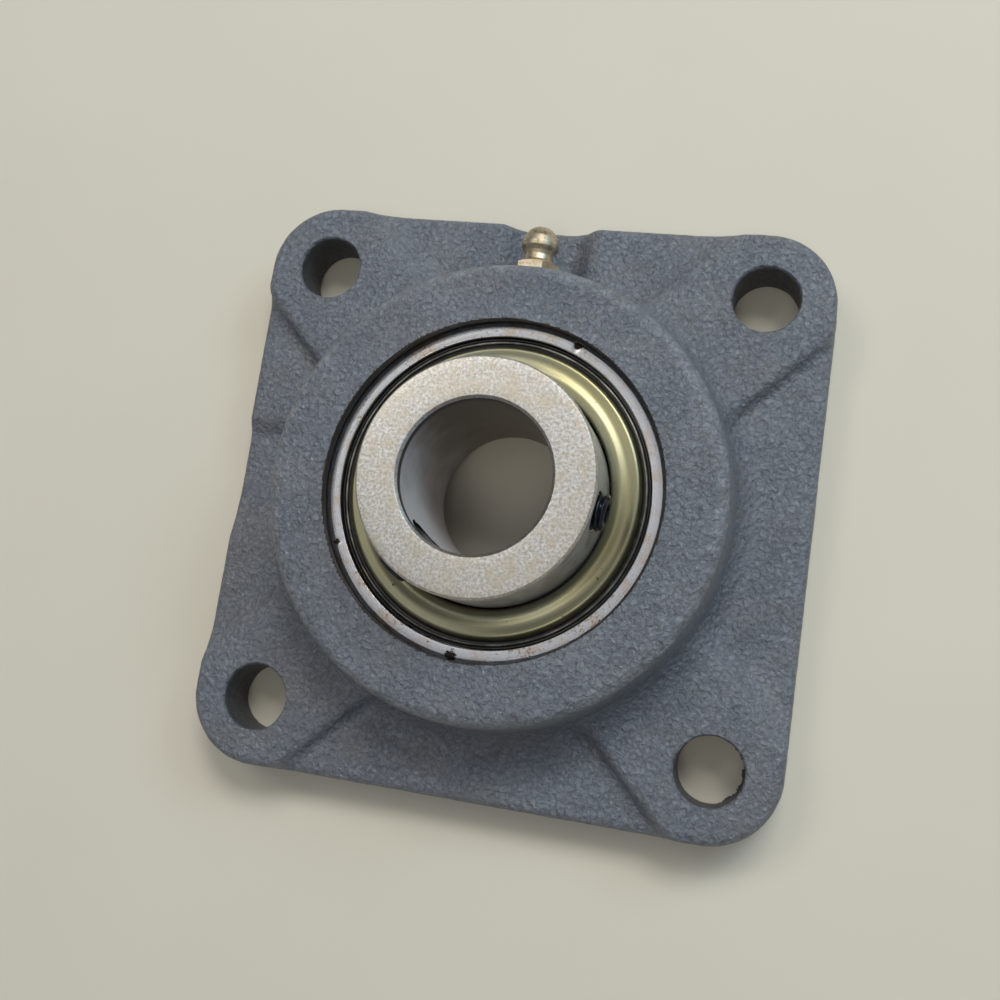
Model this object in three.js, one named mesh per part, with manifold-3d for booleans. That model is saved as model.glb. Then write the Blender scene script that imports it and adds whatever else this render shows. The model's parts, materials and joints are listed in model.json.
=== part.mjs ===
// Four-bolt flange mount ball bearing: a cast housing with a spherical seat, a self-aligning
// bearing insert with an extended inner ring, two set screws and a grease fitting.
// Millimetres. The origin is the centre of the mounting face, +Z is the shaft axis towards the
// extended end of the inner ring, and +Y points to the grease fitting.

import * as THREE from 'three';
import { mergeVertices } from 'three/addons/utils/BufferGeometryUtils.js';
import Module from 'manifold-3d';

const wasm = await Module();
wasm.setup();

// ---------------------------------------------------------------- driving dimensions

const GAP = 0.3; // clearance left between neighbouring solids

// Housing
const BOLT_SPACING = 82.55; // 3 1/4 in square bolt pattern
const BOLT_HOLE_RADIUS = 5.95; // for 7/16 in bolts
const PLATE_SIZE = 107.95; // 4 1/4 in square flange
const PAD_HALF_WIDTH = 12.4;
const WEB_TOP = 8.8;
const PAD_TOP = 11.3;
const HUB_TOP = 25.4;
const HUB_SHOULDER_RADIUS = 40; // where the top rounding meets the drafted wall
const HUB_EDGE_ROUND = 2.4;
const HUB_DRAFT = THREE.MathUtils.degToRad(4);
const HUB_FILLET = 4;
const MOUTH_RADIUS = 29.5; // straight bore in front of and behind the seat
const GREASE_CHANNEL_RADIUS = 32.6;
const GREASE_CHANNEL_HALF_WIDTH = 4;
const FEED_DRILL_RADIUS = 1.5; // from the fitting's hole to the channel
const SPOT_FACE_RADIUS = 5.2; // flat under the fitting's hexagon
const TOP_NOTCH = { floor: 4.5, halfFloor: 5.3, halfTop: 8.5 };
const SIDE_NOTCH = { floor: 6.8, halfFloor: 7.7, halfTop: 9.2 };

// Bearing insert
const BEARING_Z = 14.3; // height of the bearing centre above the mounting face
const SPHERE_RADIUS = 31; // 62 mm spherical outside
const OUTER_RING_WIDTH = 17;
const OUTER_FACE_RADIUS = 28.9;
const SEAL_SEAT_RADIUS = 27.1;
const OUTER_SHOULDER_RADIUS = 25.9;
const OUTER_RING_CHAMFER = 0.6;
const GREASE_HOLE = { radius: 0.9, z: -5 }; // through the outer ring, beside the raceway
const INNER_RING_RADIUS = 19.9;
const INNER_RING_FRONT = 22; // from the bearing centre to the extended face
const INNER_RING_BACK = 8;
const SHAFT_RADIUS = 12.7; // 1 in shaft
const BORE_CHAMFER = 0.5;
const INNER_RING_CHAMFER = 0.5;
const PITCH_RADIUS = 23;
const BALL_RADIUS = 4.7625; // 3/8 in balls
const BALL_COUNT = 9;
const RACE_CLEARANCE = 0.2;
const GROOVE_RADIUS = 4.95; // cross-section radius of both raceways

// Cage, seals and flingers
const CAGE_THICKNESS = 0.7;
const CAGE_INNER_RADIUS = 21.7;
const CAGE_OUTER_RADIUS = 24.3;
const RIVET_RADIUS = 0.6;
const RIVET_HEAD_RADIUS = 1.2;
const RIVET_HEAD_HEIGHT = 0.5;
const RIVET_HEAD_TAPER = 0.6; // share of the head radius left at its top
const SEAL_Z = 6.4; // inner face of a seal, from the bearing centre
const SEAL_THICKNESS = 0.7;
const SEAL_RIM = { height: 0.5, width: 0.6, foot: 0.9 }; // crimped edge of the seal's case
const FLINGER = { // radii, and heights above the bearing centre
  rimRadius: 25.6,
  rimHeight: 7.5,
  shoulderRadius: 24.9,
  shoulderHeight: 8.6,
  bandRadius: 23.2,
  bandHeight: 8.7,
  ridgeRadius: 22.3,
  ridgeHeight: 9.1,
  collarTop: 8.5,
  collarBottom: 7.5,
  collarWidth: 0.7,
  undersideInner: 21.8,
  undersideOuter: 24.5,
  undersideHeight: 8.1,
};

// Set screws
const SCREW = {
  angles: [-8, -128],
  endRadii: [21.5, 20.7], // distances of the outer ends from the shaft axis
  belowFace: 5, // axis, from the extended face
  length: 6.5,
  radius: 3.175,
  chamfer: 0.4,
  pointRadius: 1.5,
  pointLength: 1,
  socketCornerRadius: 1.8,
  socketDepth: 3,
};

// Grease fitting, distances along +Y from the shaft axis
const FITTING = {
  shankEnd: 35.0,
  seat: 40.45,
  hexTop: 43.1,
  neck: 45.0,
  head: 47.5,
  tip: 50.1,
  shankRadius: 2.85,
  hexCornerRadius: 4.58, // 5/16 in across flats
  hexTurn: THREE.MathUtils.degToRad(-7),
  collarRadius: 3.9, // round shoulder on top of the hexagon
  collarTopRadius: 2.95,
  collarHeight: 0.8,
  neckRadius: 2.65,
  headRadius: 3.4,
  headTopRadius: 2.7,
  headTop: 49.0,
  tipRadius: 1.75,
  boreRadius: 1.5,
  mouthRadius: 0.9,
  mouthLength: 1.1,
  exitRadius: 1.0,
  exitLength: 1.5,
};
const CHECK_BALL_RADIUS = 1.2;
const CHECK_BALL_Y = 47.7;
const SPRING = { start: 37.4, end: 46.1, turns: 7, radius: 1.0, wireRadius: 0.2 };

const RING_SEGMENTS = 48;

// ---------------------------------------------------------------- materials

function metal(color, roughness, metalness) {
  return new THREE.MeshStandardMaterial({ color, roughness, metalness });
}

const castIron = () => metal(0x5d5e63, 0.85, 0.35);
const groundSteel = () => metal(0xb9b8bb, 0.3, 1.0);
const ringSteel = () => metal(0xb3aaa0, 0.4, 1.0);
const ballSteel = () => metal(0xd0d2d5, 0.12, 1.0);
const pressedSteel = () => metal(0xa8a9ab, 0.35, 1.0);
const rubber = () => metal(0x1c1d1f, 0.7, 0.0);
const chromateSteel = () => metal(0xb9ad62, 0.35, 0.9);
const blackSteel = () => metal(0x22242a, 0.45, 0.8);
const brass = () => metal(0xb59a66, 0.35, 1.0);

// ---------------------------------------------------------------- geometry helpers

/** Turns a closed three.js geometry into a solid that can be cut and joined. */
function toSolid(geometry) {
  const bare = geometry.clone();
  bare.deleteAttribute('normal');
  bare.deleteAttribute('uv');
  const merged = mergeVertices(bare, 1e-4);
  return new wasm.Manifold(new wasm.Mesh({
    numProp: 3,
    vertProperties: new Float32Array(merged.attributes.position.array),
    triVerts: new Uint32Array(merged.index.array),
  }));
}

/** Turns a solid back into a three.js geometry. */
function toGeometry(solid) {
  const mesh = solid.getMesh();
  const geometry = new THREE.BufferGeometry();
  geometry.setAttribute('position', new THREE.BufferAttribute(mesh.vertProperties, 3));
  geometry.setIndex(new THREE.BufferAttribute(mesh.triVerts, 1));
  geometry.computeVertexNormals();
  return geometry;
}

/** Points of an arc in the (radius, height) plane, both ends included, angles in degrees. */
function arc(centreR, centreZ, radius, fromDeg, toDeg, steps) {
  const points = [];
  for (let i = 0; i <= steps; i += 1) {
    const angle = THREE.MathUtils.degToRad(fromDeg + ((toDeg - fromDeg) * i) / steps);
    points.push([centreR + radius * Math.cos(angle), centreZ + radius * Math.sin(angle)]);
  }
  return points;
}

/**
 * Revolves [radius, height] points about +Z. The profile runs anticlockwise, out along the
 * bottom and back along the top; one that leaves the axis free closes on itself.
 */
function revolve(profile, segments = RING_SEGMENTS) {
  const points = profile.map(([r, z]) => new THREE.Vector2(r, z));
  const onAxis = profile[0][0] === 0 && profile[profile.length - 1][0] === 0;
  if (!onAxis) {
    points.push(points[0].clone());
  }
  return new THREE.LatheGeometry(points, segments).rotateX(Math.PI / 2);
}

/** The profile mirrored about the plane through the bearing centre, still anticlockwise. */
function mirrored(profile) {
  return profile.map(([r, z]) => [r, -z]).reverse();
}

/** A straight cylinder about +Z between two heights. */
function cylinder(radius, bottom, top, segments) {
  return new THREE.CylinderGeometry(radius, radius, top - bottom, segments)
    .rotateX(Math.PI / 2)
    .translate(0, 0, (bottom + top) / 2);
}

function box(width, depth, bottom, top) {
  return new THREE.BoxGeometry(width, depth, top - bottom).translate(0, 0, (bottom + top) / 2);
}

function named(name, geometry, material) {
  const mesh = new THREE.Mesh(geometry, material);
  mesh.name = name;
  return mesh;
}

// ---------------------------------------------------------------- housing

function plateOutline() {
  const half = PLATE_SIZE / 2;
  const hole = BOLT_SPACING / 2;
  const corner = half - hole;
  const outline = new THREE.Shape();
  outline.moveTo(half, -hole);
  outline.absarc(hole, hole, corner, 0, Math.PI / 2, false);
  outline.absarc(-hole, hole, corner, Math.PI / 2, Math.PI, false);
  outline.absarc(-hole, -hole, corner, Math.PI, Math.PI * 1.5, false);
  outline.absarc(hole, -hole, corner, Math.PI * 1.5, Math.PI * 2, false);
  return outline;
}

function plate(height) {
  const settings = { depth: height, bevelEnabled: false, curveSegments: 8 };
  return toSolid(new THREE.ExtrudeGeometry(plateOutline(), settings));
}

/** Raised bands that run from the hub along both diagonals and carry the bolt heads. */
function pads() {
  const band = toSolid(box(PLATE_SIZE * 2, PAD_HALF_WIDTH * 2, 0, PAD_TOP));
  const bands = band.rotate([0, 0, 45]).add(band.rotate([0, 0, -45]));
  return plate(PAD_TOP).intersect(bands);
}

function hubWallRadius(z) {
  return HUB_SHOULDER_RADIUS + (HUB_TOP - HUB_EDGE_ROUND - z) * Math.tan(HUB_DRAFT);
}

function hubCore() {
  const roundCentre = HUB_SHOULDER_RADIUS - HUB_EDGE_ROUND;
  return toSolid(revolve([
    [0, 0],
    [hubWallRadius(0), 0],
    ...arc(roundCentre, HUB_TOP - HUB_EDGE_ROUND, HUB_EDGE_ROUND, 0, 90, 4),
    [0, HUB_TOP],
  ]));
}

/** The cast fillet between the hub wall and the web. */
function hubFillet() {
  const top = WEB_TOP + HUB_FILLET;
  const centreR = hubWallRadius(top) + HUB_FILLET;
  return toSolid(revolve([
    [0, 0],
    [centreR, 0],
    ...arc(centreR, top, HUB_FILLET, 270, 180, 3),
    [0, top],
  ]));
}

/** A sloped-sided notch that runs out from the hub along +Y, cut down to its floor. */
function notchCutter({ floor, halfFloor, halfTop }) {
  const slope = (halfTop - halfFloor) / (WEB_TOP - floor);
  const top = PAD_TOP + HUB_FILLET;
  const halfOpen = halfFloor + slope * (top - floor);
  const section = new THREE.Shape([
    new THREE.Vector2(-halfFloor, floor),
    new THREE.Vector2(halfFloor, floor),
    new THREE.Vector2(halfOpen, top),
    new THREE.Vector2(-halfOpen, top),
  ]);
  const geometry = new THREE.ExtrudeGeometry(section, { depth: PLATE_SIZE, bevelEnabled: false });
  geometry.rotateX(Math.PI / 2);
  geometry.translate(0, PLATE_SIZE, 0);
  return toSolid(geometry);
}

/** Mouth, spherical seat, grease channel and back bore, all about the shaft axis. */
function seatCutter() {
  const seatRadius = SPHERE_RADIUS + GAP;
  const edge = THREE.MathUtils.radToDeg(Math.acos(MOUTH_RADIUS / seatRadius));
  const channelHalf = GREASE_CHANNEL_HALF_WIDTH;
  const channelEdge = THREE.MathUtils.radToDeg(Math.asin(channelHalf / seatRadius));
  return toSolid(revolve([
    [0, -1],
    [MOUTH_RADIUS, -1],
    ...arc(0, BEARING_Z, seatRadius, -edge, -channelEdge, 3),
    [GREASE_CHANNEL_RADIUS, BEARING_Z - channelHalf],
    [GREASE_CHANNEL_RADIUS, BEARING_Z + channelHalf],
    ...arc(0, BEARING_Z, seatRadius, channelEdge, edge, 3),
    [MOUTH_RADIUS, HUB_TOP + 1],
    [0, HUB_TOP + 1],
  ]));
}

/** Two slots in the back bore through which the insert is loaded edge-on. */
function loadingSlots() {
  const across = toSolid(box(PLATE_SIZE, OUTER_RING_WIDTH + 2 * GAP, -1, BEARING_Z));
  return across.intersect(toSolid(cylinder(SPHERE_RADIUS + GAP, -1, BEARING_Z, RING_SEGMENTS)));
}

function boltHoles() {
  const hole = toSolid(cylinder(BOLT_HOLE_RADIUS, -1, PAD_TOP + 1, 24));
  const offset = BOLT_SPACING / 2;
  const corners = [[1, 1], [-1, 1], [-1, -1], [1, -1]];
  return wasm.Manifold.union(corners.map(([x, y]) => hole.translate([x * offset, y * offset, 0])));
}

/** Spot-faced, tapped hole for the grease fitting, drilled on to the channel. */
function fittingHole() {
  const tapEnd = FITTING.shankEnd - GAP;
  const spotFace = cylinder(SPOT_FACE_RADIUS, FITTING.seat - GAP, FITTING.hexTop, 24);
  const tap = cylinder(FITTING.shankRadius + GAP, tapEnd, FITTING.hexTop, 16);
  const feed = cylinder(FEED_DRILL_RADIUS, SPHERE_RADIUS - 1, FITTING.shankEnd, 10);
  const turned = [spotFace, tap, feed].map((geometry) => {
    geometry.rotateX(-Math.PI / 2);
    return toSolid(geometry.translate(0, 0, BEARING_Z));
  });
  return wasm.Manifold.union(turned);
}

function housing() {
  const base = plate(WEB_TOP)
    .add(pads())
    .add(hubFillet())
    .subtract(notchCutter(TOP_NOTCH))
    .subtract(notchCutter(SIDE_NOTCH).rotate([0, 0, 90]));
  const body = base
    .add(hubCore())
    .subtract(seatCutter())
    .subtract(loadingSlots())
    .subtract(boltHoles())
    .subtract(fittingHole());
  return named('housing', toGeometry(body), castIron());
}

// ---------------------------------------------------------------- rings

/** The concave groove of a raceway, as arc points about the bearing centre plane. */
function raceway(bottomRadius, shoulderRadius, side) {
  const centre = bottomRadius - side * GROOVE_RADIUS;
  const lift = Math.abs(shoulderRadius - centre);
  const half = THREE.MathUtils.radToDeg(Math.acos(lift / GROOVE_RADIUS));
  return side > 0
    ? arc(centre, 0, GROOVE_RADIUS, half, -half, 6)
    : arc(centre, 0, GROOVE_RADIUS, 180 + half, 180 - half, 6);
}

/** Spherical outside, raceway and seal seats inside, with one off-centre grease hole. */
function outerRing() {
  const half = OUTER_RING_WIDTH / 2;
  const chamferZ = half - OUTER_RING_CHAMFER;
  const edge = THREE.MathUtils.radToDeg(Math.asin(chamferZ / SPHERE_RADIUS));
  const seatStep = SEAL_Z - GAP;
  const bottom = PITCH_RADIUS + BALL_RADIUS + RACE_CLEARANCE;
  const ring = toSolid(revolve([
    [SEAL_SEAT_RADIUS, -half],
    [OUTER_FACE_RADIUS, -half],
    ...arc(0, 0, SPHERE_RADIUS, -edge, edge, 6),
    [OUTER_FACE_RADIUS, half],
    [SEAL_SEAT_RADIUS, half],
    [SEAL_SEAT_RADIUS, seatStep],
    [OUTER_SHOULDER_RADIUS, seatStep],
    ...raceway(bottom, OUTER_SHOULDER_RADIUS, 1),
    [OUTER_SHOULDER_RADIUS, -seatStep],
    [SEAL_SEAT_RADIUS, -seatStep],
  ]));
  const hole = cylinder(GREASE_HOLE.radius, OUTER_SHOULDER_RADIUS - 2, SPHERE_RADIUS + 1, 8);
  hole.rotateX(-Math.PI / 2);
  hole.translate(0, 0, GREASE_HOLE.z);
  return named('outer_ring', toGeometry(ring.subtract(toSolid(hole))), groundSteel());
}

/** Set screw axis directions, as angles about +Z in radians. */
const screwAngles = SCREW.angles.map((angle) => THREE.MathUtils.degToRad(angle));
const screwZ = INNER_RING_FRONT - SCREW.belowFace;

function innerRing() {
  const bottom = PITCH_RADIUS - BALL_RADIUS - RACE_CLEARANCE;
  const edge = INNER_RING_CHAMFER;
  let ring = toSolid(revolve([
    [SHAFT_RADIUS + BORE_CHAMFER, -INNER_RING_BACK],
    [INNER_RING_RADIUS - edge, -INNER_RING_BACK],
    [INNER_RING_RADIUS, -INNER_RING_BACK + edge],
    ...raceway(bottom, INNER_RING_RADIUS, -1),
    [INNER_RING_RADIUS, INNER_RING_FRONT - edge],
    [INNER_RING_RADIUS - edge, INNER_RING_FRONT],
    [SHAFT_RADIUS + BORE_CHAMFER, INNER_RING_FRONT],
    [SHAFT_RADIUS, INNER_RING_FRONT - BORE_CHAMFER],
    [SHAFT_RADIUS, -INNER_RING_BACK + BORE_CHAMFER],
  ]));
  for (const angle of screwAngles) {
    const hole = cylinder(SCREW.radius + GAP, SHAFT_RADIUS - 4, INNER_RING_RADIUS + 4, 16);
    hole.rotateY(Math.PI / 2);
    hole.rotateZ(angle);
    hole.translate(0, 0, screwZ);
    ring = ring.subtract(toSolid(hole));
  }
  return named('inner_ring', toGeometry(ring), ringSteel());
}

// ---------------------------------------------------------------- balls and cage

function balls() {
  const result = [];
  for (let i = 0; i < BALL_COUNT; i += 1) {
    const angle = Math.PI / 2 + (i * 2 * Math.PI) / BALL_COUNT;
    const ball = named(`ball_${i + 1}`, new THREE.SphereGeometry(BALL_RADIUS, 12, 8), ballSteel());
    ball.position.set(PITCH_RADIUS * Math.cos(angle), PITCH_RADIUS * Math.sin(angle), 0);
    result.push(ball);
  }
  return result;
}

/** Height of a cage surface that wraps a ball at the given distance from its centre. */
function cageHeight(arcFromBall, wrapRadius, landHeight) {
  const rise = wrapRadius * wrapRadius - arcFromBall * arcFromBall;
  return Math.max(landHeight, Math.sqrt(Math.max(rise, 0)));
}

/** Half of the ribbon cage: a flat ring whose height follows the balls all the way round. */
function cageHalf(name, side) {
  const landInner = GAP / 2;
  const landOuter = landInner + CAGE_THICKNESS;
  const wrapInner = BALL_RADIUS + GAP;
  const wrapOuter = wrapInner + CAGE_THICKNESS;
  const geometry = revolve([
    [CAGE_INNER_RADIUS, landInner],
    [CAGE_OUTER_RADIUS, landInner],
    [CAGE_OUTER_RADIUS, landOuter],
    [CAGE_INNER_RADIUS, landOuter],
  ], BALL_COUNT * 12);
  const position = geometry.attributes.position;
  const pitch = (2 * Math.PI) / BALL_COUNT;
  for (let i = 0; i < position.count; i += 1) {
    const angle = Math.atan2(position.getY(i), position.getX(i)) - Math.PI / 2;
    const fromBall = PITCH_RADIUS * (angle - pitch * Math.round(angle / pitch));
    const isInner = position.getZ(i) < (landInner + landOuter) / 2;
    const height = isInner
      ? cageHeight(fromBall, wrapInner, landInner)
      : cageHeight(fromBall, wrapOuter, landOuter);
    position.setZ(i, height);
  }
  let half = toSolid(geometry);
  for (const angle of rivetAngles()) {
    const hole = cylinder(RIVET_RADIUS + GAP, -1, 2, 8);
    hole.translate(PITCH_RADIUS * Math.cos(angle), PITCH_RADIUS * Math.sin(angle), 0);
    half = half.subtract(toSolid(hole));
  }
  if (side < 0) {
    half = half.mirror([0, 0, 1]);
  }
  return named(name, toGeometry(half), pressedSteel());
}

function rivetAngles() {
  const pitch = (2 * Math.PI) / BALL_COUNT;
  return Array.from({ length: BALL_COUNT }, (_, i) => Math.PI / 2 + (i + 0.5) * pitch);
}

function rivets() {
  const headBottom = GAP / 2 + CAGE_THICKNESS + GAP;
  const headTop = headBottom + RIVET_HEAD_HEIGHT;
  const headTopRadius = RIVET_HEAD_RADIUS * RIVET_HEAD_TAPER;
  return rivetAngles().map((angle, i) => {
    const rivet = named(`cage_rivet_${i + 1}`, revolve([
      [0, -headTop],
      [headTopRadius, -headTop],
      [RIVET_HEAD_RADIUS, -headBottom],
      [RIVET_RADIUS, -headBottom],
      [RIVET_RADIUS, headBottom],
      [RIVET_HEAD_RADIUS, headBottom],
      [headTopRadius, headTop],
      [0, headTop],
    ], 8), pressedSteel());
    rivet.position.set(PITCH_RADIUS * Math.cos(angle), PITCH_RADIUS * Math.sin(angle), 0);
    return rivet;
  });
}

// ---------------------------------------------------------------- seals and flingers

/** Seal with a rubber lip, held in the outer ring, as a section above the bearing centre. */
function sealProfile() {
  const top = SEAL_Z + SEAL_THICKNESS;
  const lip = INNER_RING_RADIUS + GAP;
  const rim = SEAL_SEAT_RADIUS - GAP;
  return [
    [lip, SEAL_Z],
    [rim, SEAL_Z],
    [rim, top + SEAL_RIM.height],
    [rim - SEAL_RIM.width, top + SEAL_RIM.height],
    [rim - SEAL_RIM.foot, top],
    [lip, top],
  ];
}

/** Pressed flinger on the inner ring: collar, rolled ridge, flat band and turned-down rim. */
function flingerProfile() {
  const f = FLINGER;
  const collar = INNER_RING_RADIUS + GAP;
  return [
    [collar, f.collarBottom],
    [collar + f.collarWidth, f.collarBottom],
    [f.undersideInner, f.undersideHeight],
    [f.undersideOuter, f.undersideHeight],
    [f.rimRadius, f.rimHeight],
    [f.shoulderRadius, f.shoulderHeight],
    [f.bandRadius, f.bandHeight],
    [f.ridgeRadius, f.ridgeHeight],
    [collar, f.collarTop],
  ];
}

// ---------------------------------------------------------------- set screws

/** Socket set screw: its axis is radial, the hexagon socket opens outwards. */
function setScrew(name, angle, end) {
  const inner = end - SCREW.length;
  const body = toSolid(revolve([
    [0, inner],
    [SCREW.pointRadius, inner],
    [SCREW.radius, inner + SCREW.pointLength],
    [SCREW.radius, end - SCREW.chamfer],
    [SCREW.radius - SCREW.chamfer, end],
    [0, end],
  ], 16));
  const socket = toSolid(cylinder(SCREW.socketCornerRadius, end - SCREW.socketDepth, end + 1, 6));
  const screw = named(name, toGeometry(body.subtract(socket)), blackSteel());
  screw.geometry.rotateY(Math.PI / 2);
  screw.rotation.z = angle;
  screw.position.z = screwZ;
  return screw;
}

// ---------------------------------------------------------------- grease fitting

/** Nipple body with a stepped bore, made about +Z with heights as distances from the shaft. */
function fittingBody() {
  const f = FITTING;
  const outside = toSolid(revolve([
    [0, f.shankEnd],
    [f.shankRadius, f.shankEnd],
    [f.shankRadius, f.seat + 1],
    [f.collarRadius, f.seat + 1],
    [f.collarRadius, f.hexTop],
    [f.collarTopRadius, f.hexTop + f.collarHeight],
    [f.neckRadius, f.neck],
    [f.headRadius, f.head - 0.5],
    [f.headRadius, f.head + 0.5],
    [f.headTopRadius, f.headTop],
    [f.tipRadius, f.tip],
    [0, f.tip],
  ], 16));
  const hexagon = toSolid(cylinder(f.hexCornerRadius, f.seat, f.hexTop, 6).rotateZ(f.hexTurn));
  const bore = toSolid(revolve([
    [0, f.shankEnd - 1],
    [f.exitRadius, f.shankEnd - 1],
    [f.exitRadius, f.shankEnd + f.exitLength],
    [f.boreRadius, f.shankEnd + f.exitLength],
    [f.boreRadius, f.tip - f.mouthLength - 0.6],
    [f.mouthRadius, f.tip - f.mouthLength],
    [f.mouthRadius, f.tip + 1],
    [0, f.tip + 1],
  ], 10));
  return named('grease_fitting_body', toGeometry(outside.add(hexagon).subtract(bore)), brass());
}

function checkBall() {
  const geometry = new THREE.SphereGeometry(CHECK_BALL_RADIUS, 10, 6);
  const ball = named('grease_check_ball', geometry, ballSteel());
  ball.position.z = CHECK_BALL_Y;
  return ball;
}

class Helix extends THREE.Curve {
  getPoint(t, target = new THREE.Vector3()) {
    const angle = t * SPRING.turns * 2 * Math.PI;
    const z = SPRING.start + t * (SPRING.end - SPRING.start);
    return target.set(SPRING.radius * Math.cos(angle), SPRING.radius * Math.sin(angle), z);
  }
}

function checkSpring() {
  const wire = new THREE.Shape();
  wire.absarc(0, 0, SPRING.wireRadius, 0, 2 * Math.PI, false);
  const settings = {
    steps: SPRING.turns * 8,
    extrudePath: new Helix(),
    curveSegments: 3,
    bevelEnabled: false,
  };
  const geometry = new THREE.ExtrudeGeometry(wire, settings);
  return named('grease_check_spring', geometry, pressedSteel());
}

// ---------------------------------------------------------------- assembly

const greaseFitting = new THREE.Group();
greaseFitting.add(fittingBody(), checkBall(), checkSpring());
greaseFitting.rotation.x = -Math.PI / 2;
greaseFitting.position.z = BEARING_Z;

const insert = new THREE.Group();
insert.position.z = BEARING_Z;
insert.add(outerRing(), innerRing(), ...balls());
insert.add(cageHalf('cage_front', 1), cageHalf('cage_back', -1), ...rivets());
insert.add(named('front_seal', revolve(sealProfile()), rubber()));
insert.add(named('back_seal', revolve(mirrored(sealProfile())), rubber()));
insert.add(named('front_flinger', revolve(flingerProfile()), chromateSteel()));
insert.add(named('back_flinger', revolve(mirrored(flingerProfile())), chromateSteel()));
screwAngles.forEach((angle, i) => {
  insert.add(setScrew(`set_screw_${i + 1}`, angle, SCREW.endRadii[i]));
});

const bearing = new THREE.Group();
bearing.add(housing(), insert, greaseFitting);

export default bearing;
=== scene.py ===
"""The looks of a four-bolt flange mount bearing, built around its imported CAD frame.

Shapes are worked out in millimetres in the frame's own axes: the origin is the centre of the
mounting face, +Z is the shaft axis and +Y points to the grease fitting. They become metres when
a mesh is made. Every piece's object sits at the origin, so its texture space is the frame.
"""

import json
import math

import bmesh
import bpy
import numpy as np
from mathutils import Matrix, Vector, noise


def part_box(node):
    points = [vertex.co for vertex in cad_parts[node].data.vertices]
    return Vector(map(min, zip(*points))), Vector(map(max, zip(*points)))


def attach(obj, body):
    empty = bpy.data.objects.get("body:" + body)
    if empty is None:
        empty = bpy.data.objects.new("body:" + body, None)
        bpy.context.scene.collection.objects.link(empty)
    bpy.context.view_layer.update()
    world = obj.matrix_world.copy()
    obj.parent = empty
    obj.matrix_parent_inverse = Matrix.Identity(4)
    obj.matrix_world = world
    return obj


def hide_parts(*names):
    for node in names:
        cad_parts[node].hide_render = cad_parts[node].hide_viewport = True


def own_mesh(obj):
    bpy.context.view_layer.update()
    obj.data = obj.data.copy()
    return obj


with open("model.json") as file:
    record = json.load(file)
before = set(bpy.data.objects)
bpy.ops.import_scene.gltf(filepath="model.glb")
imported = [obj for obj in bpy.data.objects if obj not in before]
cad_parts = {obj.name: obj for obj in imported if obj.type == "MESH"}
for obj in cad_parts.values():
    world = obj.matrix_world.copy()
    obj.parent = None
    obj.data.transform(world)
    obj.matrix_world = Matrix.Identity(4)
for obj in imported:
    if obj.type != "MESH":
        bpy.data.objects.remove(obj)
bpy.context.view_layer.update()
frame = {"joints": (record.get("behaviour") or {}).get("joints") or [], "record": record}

MM = 0.001

# ---- dimensions from the frame


def box_mm(node):
    """Lowest and highest corner of a CAD node, in millimetres."""
    low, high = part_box(node)
    return np.array(low) / MM, np.array(high) / MM


def opening_centre(name):
    """Middle of one of the record's stated openings, in millimetres."""
    found = next(o for o in frame["record"]["physics"]["openings"] if o["name"] == name)
    return np.array(found["box_m"]).mean(axis=0) / MM


def mount_height(name):
    """Height of one of the record's mounts above the mounting face, in millimetres."""
    return next(m for m in frame["record"]["mounts"] if m["name"] == name)["pos_m"][2] / MM


def slide_axis(name):
    return Vector(next(j for j in frame["joints"] if j["name"] == name)["axis"])


HOUSING_HIGH = box_mm("housing")[1]
OUTER_LOW, OUTER_HIGH = box_mm("outer_ring")
INNER_LOW, INNER_HIGH = box_mm("inner_ring")
FITTING_LOW, FITTING_HIGH = box_mm("grease_fitting_body")
SCREW_LOW, SCREW_HIGH = box_mm("set_screw_1")
BALL_LOW, BALL_HIGH = box_mm("ball_1")

# Housing
PLATE_HALF = HOUSING_HIGH[0]
HUB_TOP = HOUSING_HIGH[2]
PAD_TOP = mount_height("bolt_pad_1")
BOLT_CENTRES = [opening_centre(f"bolt_hole_{i}") for i in (1, 2, 3, 4)]
PLATE_CORNER = PLATE_HALF - BOLT_CENTRES[0][0]
PLATE_DRAFT = math.tan(math.radians(2.5))
BOLT_HOLE_RADIUS = 5.95
WEB_TOP = 8.8
PAD_HALF_WIDTH = 12.4
PAD_SOFT_SLOPE = 1.15  # run for each millimetre of rise on the pads' +Y sides
PAD_STEEP_SLOPE = 0.4  # and on their -Y sides
HUB_SHOULDER_RADIUS = 40.0
HUB_EDGE_ROUND = 2.4
HUB_DRAFT = math.radians(4)
HUB_FILLET = 5.0
MOUTH_RADIUS = 29.5
CHANNEL_RADIUS = 32.6
CHANNEL_HALF = 4.0

# Bearing insert: heights are from the bearing centre
BEARING_Z = (OUTER_LOW[2] + OUTER_HIGH[2]) / 2
SPHERE_RADIUS = OUTER_HIGH[0]
OUTER_HALF = OUTER_HIGH[2] - BEARING_Z
OUTER_FACE_RADIUS = 28.9
SEAL_SEAT_RADIUS = 27.1
OUTER_SHOULDER_RADIUS = 25.9
INNER_RADIUS = INNER_HIGH[0]
INNER_FRONT = INNER_HIGH[2] - BEARING_Z
INNER_BACK = BEARING_Z - INNER_LOW[2]
SHAFT_RADIUS = 12.7
PITCH_RADIUS = (BALL_LOW[1] + BALL_HIGH[1]) / 2
BALL_RADIUS = (BALL_HIGH[2] - BALL_LOW[2]) / 2
BALL_COUNT = 9
GROOVE_RADIUS = 4.95
RACE_CLEARANCE = 0.2

# ---- outlines


def unit(vector):
    return vector / np.linalg.norm(vector)


def arc(centre_r, centre_z, radius, start, end, steps=12):
    """Points of an arc as unrounded corners, with angles in degrees."""
    angles = np.radians(np.linspace(start, end, steps + 1))
    return [(centre_r + radius * math.cos(a), centre_z + radius * math.sin(a), 0) for a in angles]


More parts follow.
